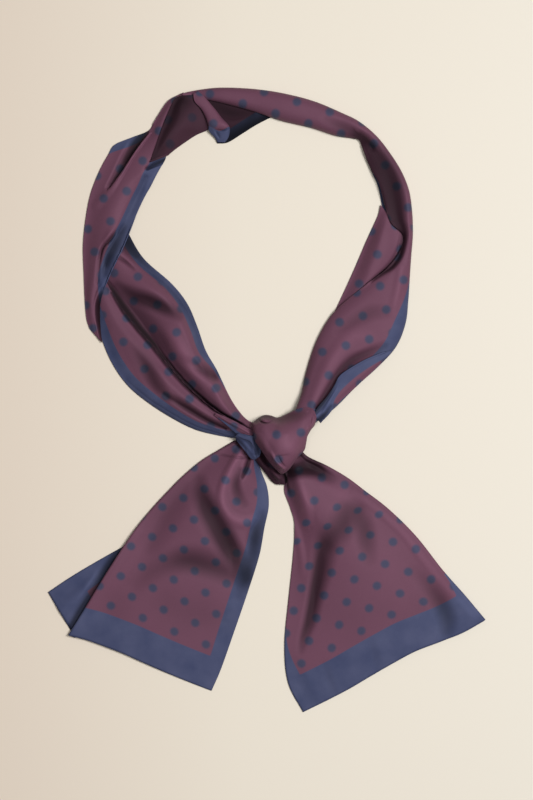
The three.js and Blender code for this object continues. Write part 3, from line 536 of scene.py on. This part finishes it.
stretch(
    name="knot_wrap", rows=110, columns=100, round=2,
    sections=[
        (-21.3, 15, 8, -20.6, 9, 8, 5, 0.5, 0, 0),
        (-18.5, 17.5, 6, -19.2, 3, 8, 11, 0.5, 0, 0),
        (-13.5, 20.6, 5, -14.5, -4, 9, 15, 0.5, 0, 0),
        (-8.5, 20.4, 4, -9.8, -11, 9, 17, 0.5, 0, 0),
        (-3.5, 19, 4, -5, -16.4, 9, 18, 0.5, 0, 0),
        (3, 21.8, 4, -1, -19.8, 8, 18, 0.5, 0, 0),
        (9.5, 24.9, 4, 4.2, -16.4, 7, 17, 0.5, 0, 0),
        (15, 26.2, 5, 9.6, -8.8, 6, 15, 0.5, 0, 0),
        (18.5, 26, 6, 14.8, -3, 6, 12, 0.5, 0, 0),
        (21, 24.6, 6, 15.9, 4, 6, 10, 0.5, 0, 0),
        (22.5, 21.4, 8, 18.6, 9.8, 8, 7, 0.5, 0, 0),
        (23, 18.6, 8, 21.6, 13.6, 8, 4, 0.5, 0, 0)],
    curves=[
        [(-16.8, 18, 1.2, 1.2, -2), (-15.4, 16.3, 1.3, 1.3, -3.5), (-12, 15.6, 1.3, 1.3, -3),
         (-8, 16.4, 1.2, 1.2, -1)],
        [(-19, 17, 3, 3, -3), (-15, 20, 3, 3, -4), (-9, 19.5, 3.4, 3.4, -3.4), (-2, 18.5, 4, 5, -2.4),
         (6, 20.5, 4, 6, -2.6), (14, 22.5, 3, 5, -1)],
        [(-8, 6, 13, 12, 1.6), (0, 2, 16, 15, 2.6), (7, -5, 13, 13, 2.8), (4, -12, 9, 9, 1.4)],
        [(-8.5, -5, 2, 1.8, 0.6), (-4.5, -11.5, 2, 1.8, 2.6), (0.5, -16, 1.8, 1.8, 2.2)],
        [(-3, -8, 1, 1, -0.6), (-1.5, -11, 1, 1, -1.2), (0.8, -14.5, 1, 1, -0.8)],
        [(20.5, 23, 2, 3, 0.8), (21, 17, 2, 3, 1.6), (18, 11, 2, 3, 0.8)],
        [(-17, 7, 4, 4, 0.6), (-12, -2, 4, 5, 1.2), (-7, -8, 4, 5, 0.8)]],
    print=("plane", -4.6, 7.5, 50.0),
    flat=(0.067, 0.052), area=0.00257)


def edge_points(edge, tuck, z, steps=8):
    """A turned edge from the hidden end to where the panel starts, as (distance in, height) pairs."""
    if edge is None:
        return []
    turn, r = edge
    points = [(r + tuck, z), (r + 0.5 * tuck, z)]
    for k in range(steps + 1):
        a = math.radians(turn) * k / steps
        points.append((r * (1 - math.sin(a)), z + r * (1 - math.cos(a))))
    return points


def turned_edge(s, side, share, width, z):
    """The turned edge of a side in every row, with no points where the side has none."""
    rows = []
    for along, wide, high in zip(share, width, z):
        tuck = 1
        if side + "_tucks" in s:
            tuck = max(min(through(s[side + "_tucks"], along), MOST_TUCK * wide), 1)
        rows.append(edge_points(s.get(side), tuck, high + LIE))
    return np.array(rows).reshape(len(share), -1, 2)


def cross_section(s, crest):
    """Across a stretch: where its points lie, as a share of the width, and their share of the rise."""
    t = np.linspace(0, 1, s["columns"] + 1)[None, :]
    if s["round"]:
        out = np.abs(np.cos(np.pi * t)) ** (2 / s["round"])
        up = np.abs(np.sin(np.pi * t)) ** (2 / s["round"]) + 0 * crest
        return np.where(t < 0.5, crest * (1 - out), crest + (1 - crest) * out), up
    half = np.where(t < crest, 0.5 * t / crest, 0.5 + 0.5 * (t - crest) / (1 - crest))
    return t + 0 * crest, np.sin(np.pi * half) ** 2


def dot_place(s, share, x, y, inward, left_border, line):
    """Where points lie in the lattice of dots: across the strip and along it."""
    kind, *place = s["print"]
    if kind == "strip":
        step = np.hypot(*np.diff(line))
        v = np.concatenate([[0], np.cumsum(step)])[:, None] + place[1] + 0 * x
        return place[0] + inward - left_border[:, None], v
    place = np.array(place)[:, None, None]
    if "print_after" in s:
        at, *later = s["print_after"]
        place = np.where(share[None, :, None] < at, place, np.array(later)[:, None, None])
    turn = np.radians(place[2])
    u = (x - place[0]) * np.cos(turn) + (y - place[1]) * np.sin(turn)
    v = -(x - place[0]) * np.sin(turn) + (y - place[1]) * np.cos(turn)
    if "gather" in s:
        shear, along, tighter = s["gather"]
        u = u + shear * v
        v = v + along * v + tighter * np.clip(v - GATHER_FROM, 0, GATHER_OVER) ** 2
    return u, v


def sample(s):
    """The middle of a stretch as grids of x, y, z, with its place on the print and its relief, which also
    sets the painted fold shade.
    """
    share = np.linspace(0, 1, s["rows"] + 1)
    lx, ly, lz, rx, ry, rz, rise, crest, left_border, right_border = (
        through(column, share) for column in zip(*s["sections"]))
    width = np.hypot(rx - lx, ry - ly)
    ax, ay = ((rx - lx) / width)[:, None], ((ry - ly) / width)[:, None]
    left_edge = turned_edge(s, "left", share, width, lz)
    right_edge = turned_edge(s, "right", share, width, rz)
    start = left_edge[:, -1] if "left" in s else np.stack([0 * lz, lz + LIE], 1)
    end = right_edge[:, -1] if "right" in s else np.stack([0 * rz, rz + LIE], 1)
    a, up = cross_section(s, np.clip(crest, *CREST)[:, None])
    inward = start[:, :1] + (width[:, None] - end[:, :1] - start[:, :1]) * a
    z = start[:, 1:] * (1 - a) + end[:, 1:] * a + np.maximum(0, rise)[:, None] * up
    x, y = lx[:, None] + ax * inward, ly[:, None] + ay * inward
    ease = np.ones_like(a)
    if "left" in s:
        ease = np.minimum(ease, smooth(a / EASE_SHARE))
    if "right" in s:
        ease = np.minimum(ease, smooth((1 - a) / EASE_SHARE))
    relief = sum((curve_height(c, x, y) for c in s["curves"]), np.zeros_like(x))
    z = np.maximum(LIE, z + s.get("sunk", 1) * ease * relief)
    # The turned edges, whose painted fold shade goes on from the panel's.
    left_in, left_z = left_edge[:, :-1, 0], left_edge[:, :-1, 1]
    right_in, right_z = right_edge[:, -2::-1, 0], right_edge[:, -2::-1, 1]
    panel = np.zeros(left_in.shape[1] + a.shape[1] + right_in.shape[1], bool)
    panel[left_in.shape[1]:][:a.shape[1]] = True
    x = np.hstack([lx[:, None] + ax * left_in, x, rx[:, None] - ax * right_in])
    y = np.hstack([ly[:, None] + ay * left_in, y, ry[:, None] - ay * right_in])
    z = np.hstack([left_z, z, right_z])
    inward = np.hstack([-left_in, inward, width[:, None] + right_in])
    relief = np.hstack([relief[:, :1] + 0 * left_in, relief, relief[:, -1:] + 0 * right_in])
    # How far in from the printed borders: those of the sides, and the hem's.
    borders = []
    for distance, showing in ((inward, left_border), (width[:, None] - inward, right_border)):
        showing = np.where(showing < LEAST_BORDER, HIDDEN_BORDER, showing)[:, None]
        borders.append(np.maximum(distance, 0) - showing)
    border = np.minimum(*borders)
    hx, hy = ax[0, 0], ay[0, 0]
    if "hem" in s:
        border = np.minimum(border, (y - ly[0]) * hx - (x - lx[0]) * hy - s["hem"])
    line = np.stack([(lx + rx) / 2, (ly + ry) / 2])
    u, v = dot_place(s, share, x, y, inward, left_border, line)
    if "bend" in s:
        in_by = through(s["bend"], np.clip(inward / width[:, None], 0, 1))
        in_by = in_by * smooth(1 - share / 0.5)[:, None]
        x, y = x - in_by * hy, y + in_by * hx
    return x, y, z, panel, np.stack([u, v, border], -1), relief


def ease_over(least, passes):
    """The least lift that is needed, with its surroundings drawn up after it."""
    lift = least.copy()
    for _ in range(passes):
        p = np.pad(lift, 1, mode="edge")
        lift = np.maximum(least, (p[:-2, 1:-1] + p[2:, 1:-1] + p[1:-1, :-2] + p[1:-1, 2:]) / 4)
    return lift


def lay_over(x, y, z, panel, heights):
    """The heights of a stretch once it lies on what is below it."""
    top = heights.top(x, y)
    need = np.where(top > 0, np.maximum(0, top + SILK / 2 + GAP - z), 0)
    if (~panel).any():
        edges = ~panel
        near = edges.copy()
        near[1:] |= edges[:-1]
        near[:-1] |= edges[1:]
        lift = need[:, edges].max(axis=1)
        need[:, near] = np.maximum(need[:, near], lift[:, None])
    z = z + ease_over(need, LIFT_PASSES)
    # The panel also clears its own turned edges.
    for end, fold in ((0, int(panel.argmax())), (-1, len(panel) - 1 - int(panel[::-1].argmax()))):
        if panel[end]:
            continue
        reach = np.hypot(x[:, end] - x[:, fold], y[:, end] - y[:, fold]) + EDGE_REACH
        away = np.hypot(x - x[:, fold][:, None], y - y[:, fold][:, None])
        covers = panel[None, :] & (away < reach[:, None])
        need = np.maximum(0, z[:, end][:, None] + SILK + EDGE_GAP - z)
        z = z + ease_over(np.where(covers, need, 0), EDGE_PASSES)
    return z


def make_sheet(s, x, y, z, prints, relief, material):
    """A closed thin sheet round the grid of its middle."""
    middle = np.stack([x, y, z], -1)
    along, across = np.gradient(middle, axis=0), np.gradient(middle, axis=1)
    normal = np.cross(across, along)
    normal /= np.maximum(np.linalg.norm(normal, axis=-1, keepdims=True), 1e-9)
    top, low = middle + normal * SILK / 2, middle - normal * SILK / 2
    low[..., 2] = np.maximum(low[..., 2], CLEAR)
    rows, cols = x.shape
    points = np.concatenate([top.reshape(-1, 3), low.reshape(-1, 3)]) * MM
    ids = np.arange(rows * cols).reshape(rows, cols)
    a, b, c, d = ids[:-1, :-1], ids[:-1, 1:], ids[1:, 1:], ids[1:, :-1]
    upper = np.stack([a, b, c, d], -1).reshape(-1, 4)
    lower = np.stack([a, d, c, b], -1).reshape(-1, 4) + rows * cols
    rim = np.concatenate([ids[0, :], ids[1:, -1], ids[-1, -2::-1], ids[-2:0:-1, 0]])
    after = np.roll(rim, -1)
    side = np.stack([rim, rim + rows * cols, after + rows * cols, after], -1)
    faces = np.concatenate([upper, lower, side])
    mesh = bpy.data.meshes.new(s["name"] + "_silk")
    mesh.vertices.add(len(points))
    mesh.vertices.foreach_set("co", points.ravel())
    mesh.loops.add(faces.size)
    mesh.loops.foreach_set("vertex_index", faces.ravel())
    mesh.polygons.add(len(faces))
    mesh.polygons.foreach_set("loop_start", np.arange(0, faces.size, 4))
    mesh.update(calc_edges=True)
    mesh.validate()
    flat = np.concatenate([prints.reshape(-1, 3)] * 2)
    attribute = mesh.attributes.new("print_place", "FLOAT_VECTOR", "POINT")
    attribute.data.foreach_set("vector", flat.ravel())
    # The relief, from which the material paints shade in the folds and highlight on their backs.
    attribute = mesh.attributes.new("fold", "FLOAT", "POINT")
    attribute.data.foreach_set("value", np.concatenate([relief.ravel()] * 2))
    mesh.polygons.foreach_set("use_smooth", np.ones(len(faces), bool))
    obj = bpy.data.objects.new(s["name"] + "_silk", mesh)
    bpy.context.scene.collection.objects.link(obj)
    mesh.materials.append(material)
    return obj


def node(tree, kind, inputs=None, **settings):
    made = tree.nodes.new(kind)
    for key, value in settings.items():
        setattr(made, key, value)
    for key, value in (inputs or {}).items():
        if isinstance(value, bpy.types.NodeSocket):
            tree.links.new(value, made.inputs[key])
        else:
            made.inputs[key].default_value = value
    return made


def maths(tree, operation, *values):
    return node(tree, "ShaderNodeMath", dict(enumerate(values)), operation=operation).outputs[0]


def mapped(tree, value, low, high, at_low, at_high, **settings):
    inputs = {0: value, 1: low, 2: high, 3: at_low, 4: at_high}
    return node(tree, "ShaderNodeMapRange", inputs, **settings).outputs[0]


def mix_colour(tree, factor, a, b):
    return node(tree, "ShaderNodeMix", {"Factor": factor, 6: a, 7: b}, data_type="RGBA").outputs[2]


def srgb(*levels):
    linear = [c / 255 / 12.92 if c <= 10 else ((c / 255 + 0.055) / 1.055) ** 2.4 for c in levels]
    return (*linear, 1)


# Each as the two shades between which the dye varies.
PLUM = srgb(112, 72, 91), srgb(98, 63, 80)
NAVY = srgb(82, 86, 115), srgb(52, 60, 92)
DOT_BLUE = srgb(58, 68, 92), srgb(52, 62, 86)


def silk_material(name, painted_brightness, metallic, roughness, print_strength):
    m = bpy.data.materials.new(name)
    m.use_nodes = True
    t = m.node_tree
    t.nodes.clear()
    place = node(t, "ShaderNodeAttribute", attribute_name="print_place")
    split = node(t, "ShaderNodeSeparateXYZ", {0: place.outputs["Vector"]})
    u, v, border = split.outputs

    def off_centre(value, pitch, shift):
        wrapped = maths(t, "WRAP", maths(t, "ADD", value, shift), pitch / 2, -pitch / 2)
        return maths(t, "MULTIPLY", wrapped, wrapped)

    distance = None
    for shift_u, shift_v in ((0, 0), (COLUMN, ROW)):
        d = maths(t, "ADD", off_centre(u, 2 * COLUMN, shift_u), off_centre(v, 2 * ROW, shift_v))
        distance = d if distance is None else maths(t, "MINIMUM", distance, d)
    distance = maths(t, "SQRT", distance)
    dot = mapped(t, distance, DOT + DOT_BLUR, DOT - DOT_BLUR, 0.0, print_strength,
                 interpolation_type="SMOOTHSTEP")
    edge = mapped(t, border, BORDER_BLUR, -BORDER_BLUR, 0.0, 1.0, interpolation_type="SMOOTHSTEP")
    # The twill: fine diagonal ribs and a fine grain, and slow unevenness of the dye.
    ribs = maths(t, "SINE", maths(t, "ADD", maths(t, "MULTIPLY", u, RIBS), maths(t, "MULTIPLY", v, RIBS)))
    coords = node(t, "ShaderNodeTexCoord").outputs["Object"]

    def noise(scale, detail, coarseness):
        return node(t, "ShaderNodeTexNoise", {"Vector": coords, "Scale": scale, "Detail": detail,
                                              "Roughness": coarseness}).outputs[0]

    slow, fine, mottled = noise(22.0, 3.0, 0.5), noise(900.0, 2.0, 0.6), noise(70.0, 2.0, 0.5)
    inner = mix_colour(t, dot, mix_colour(t, slow, *PLUM), mix_colour(t, slow, *DOT_BLUE))
    colour = mix_colour(t, edge, inner, mix_colour(t, mottled, *NAVY))
    # Painted shade down in the folds and painted highlight along their backs, from the fold relief,
    # multiplied into the colour with the fine grain.
    fold = node(t, "ShaderNodeAttribute", attribute_name="fold").outputs["Fac"]
    grain_and_painted_shade = maths(t, "MULTIPLY", painted_brightness, maths(t, "ADD", 0.94, maths(t, "MULTIPLY", fine, 0.12)))
    for limits in PAINTED_FOLD_SHADES:
        grain_and_painted_shade = maths(t, "MULTIPLY", grain_and_painted_shade, mapped(t, fold, *limits))
    colour_with_painted_shade = node(t, "ShaderNodeVectorMath", {0: colour, 3: grain_and_painted_shade}, operation="SCALE").outputs[0]
    relief = maths(t, "ADD", maths(t, "MULTIPLY", ribs, 0.5), maths(t, "MULTIPLY", fine, 0.6))
    bump = node(t, "ShaderNodeBump", {"Strength": 0.25, "Distance": 0.00008, "Height": relief})
    shader = node(t, "ShaderNodeBsdfPrincipled", {
        "Base Color": colour_with_painted_shade, "Metallic": metallic, "Roughness": roughness, "Specular IOR Level": 0.12,
        "Sheen Weight": 0.02, "Sheen Roughness": 0.4, "Normal": bump.outputs[0]})
    node(t, "ShaderNodeOutputMaterial", {0: shader.outputs[0]})
    return m


# The reverse has weaker dots and is rougher. Both the reverse and the inside are painted darker than the
# silk, as shade where the cloth lies turned away or deep under other layers. The inside has no dots.
silk = silk_material("printed_silk_twill", 1.0, 0.12, 0.6, 0.85)
reverse = silk_material("reverse_of_the_twill_painted_dark", 0.36, 0.1, 0.7, 0.6)
inside = silk_material("inside_of_the_fold_painted_dark", 0.25, 0.0, 0.8, 0.0)
cloths = {"silk": silk, "reverse": reverse, "inside": inside}

# The layers hidden in the knot are a rounded dome, and what shows of the knot lies over it.
CORE_X, CORE_Y, CORE_RADIUS, CORE_HEIGHT = -1, 4, 12.2, 26
heights = HeightMap()
turn = np.linspace(0, 2 * math.pi, 80)[:, None]
out = np.linspace(0, 1, 30)[None, :]
heights.add(CORE_X + CORE_RADIUS * out * np.cos(turn), CORE_Y + CORE_RADIUS * out * np.sin(turn),
            CORE_HEIGHT * np.sqrt(np.maximum(0, 1 - out * out)) + 0 * turn - SILK / 2)
for s in STRETCHES:
    x, y, z, panel, prints, relief = sample(s)
    z = lay_over(x, y, z, panel, heights)
    heights.add(x, y, z)
    obj = make_sheet(s, x, y, z, prints, relief, cloths[s.get("cloth", "silk")])
    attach(obj, "root")
    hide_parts(s.get("node", s["name"]))

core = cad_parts["knot_core"]
core.data.materials.clear()
core.data.materials.append(silk)

# The table, warmer and darker at its left: partly its tint, partly painted shade of the light falling off
# toward the left.
TABLE_HALF, TABLE_BELOW = 3, -0.0002     # metres
table_mesh = bpy.data.meshes.new("table")
corners = [(-1, -1), (1, -1), (1, 1), (-1, 1)]
table_mesh.from_pydata([(TABLE_HALF * a, TABLE_HALF * b, TABLE_BELOW) for a, b in corners], [],
                       [(0, 1, 2, 3)])
table_top = bpy.data.objects.new("table", table_mesh)
bpy.context.scene.collection.objects.link(table_top)
paper = bpy.data.materials.new("pale_paper")
paper.use_nodes = True
t = paper.node_tree
t.nodes.clear()
place = node(t, "ShaderNodeTexCoord").outputs["Object"]
across_table = node(t, "ShaderNodeSeparateXYZ", {0: place}).outputs[0]
paper_tint_and_painted_falloff = node(t, "ShaderNodeValToRGB", {0: mapped(t, across_table, -0.2, 0.18, 0.0, 1.0)})
paper_tint_and_painted_falloff.color_ramp.elements[0].color = srgb(228, 214, 198)
paper_tint_and_painted_falloff.color_ramp.elements[1].color = srgb(231, 224, 211)
middle = paper_tint_and_painted_falloff.color_ramp.elements.new(0.45)
middle.color = srgb(233, 224, 209)
shader = node(t, "ShaderNodeBsdfPrincipled", {
    "Base Color": paper_tint_and_painted_falloff.outputs[0], "Roughness": 0.9, "Specular IOR Level": 0.1})
node(t, "ShaderNodeOutputMaterial", {0: shader.outputs[0]})
table_mesh.materials.append(paper)


def area_light(name, place, size, power):
    """A round lamp that shines at the middle of the table."""
    data = bpy.data.lights.new(name, "AREA")
    data.shape = "DISK"
    data.size = size
    data.energy = power
    lamp = bpy.data.objects.new(name, data)
    bpy.context.scene.collection.objects.link(lamp)
    lamp.location = place
    lamp.rotation_mode = "QUATERNION"
    lamp.rotation_quaternion = Vector(place).to_track_quat("Z", "Y")


area_light("key", (0.95, 0.25, 1.8), size=0.8, power=34)
area_light("overhead", (0.05, 0.0, 1.8), size=1.2, power=6)
world = bpy.data.worlds.new("studio")
bpy.context.scene.world = world
world.use_nodes = True
world.node_tree.nodes["Background"].inputs["Color"].default_value = (1, 0.98, 0.95, 1)
world.node_tree.nodes["Background"].inputs["Strength"].default_value = 0.17

# Straight above, high enough to see the scarf with little perspective.
CAMERA_HEIGHT, SHOWN, SENSOR = 1.6, 0.56, 36     # metres, metres of table in view, mm
camera = bpy.data.cameras.new("camera")
camera.sensor_fit = "AUTO"
camera.sensor_width = SENSOR
camera.lens = SENSOR * CAMERA_HEIGHT / SHOWN
camera.clip_end = 10
camera_object = bpy.data.objects.new("camera", camera)
bpy.context.scene.collection.objects.link(camera_object)
camera_object.location = (-0.01155, 0.0315, CAMERA_HEIGHT)
bpy.context.scene.camera = camera_object
bpy.context.scene.view_settings.view_transform = "Standard"
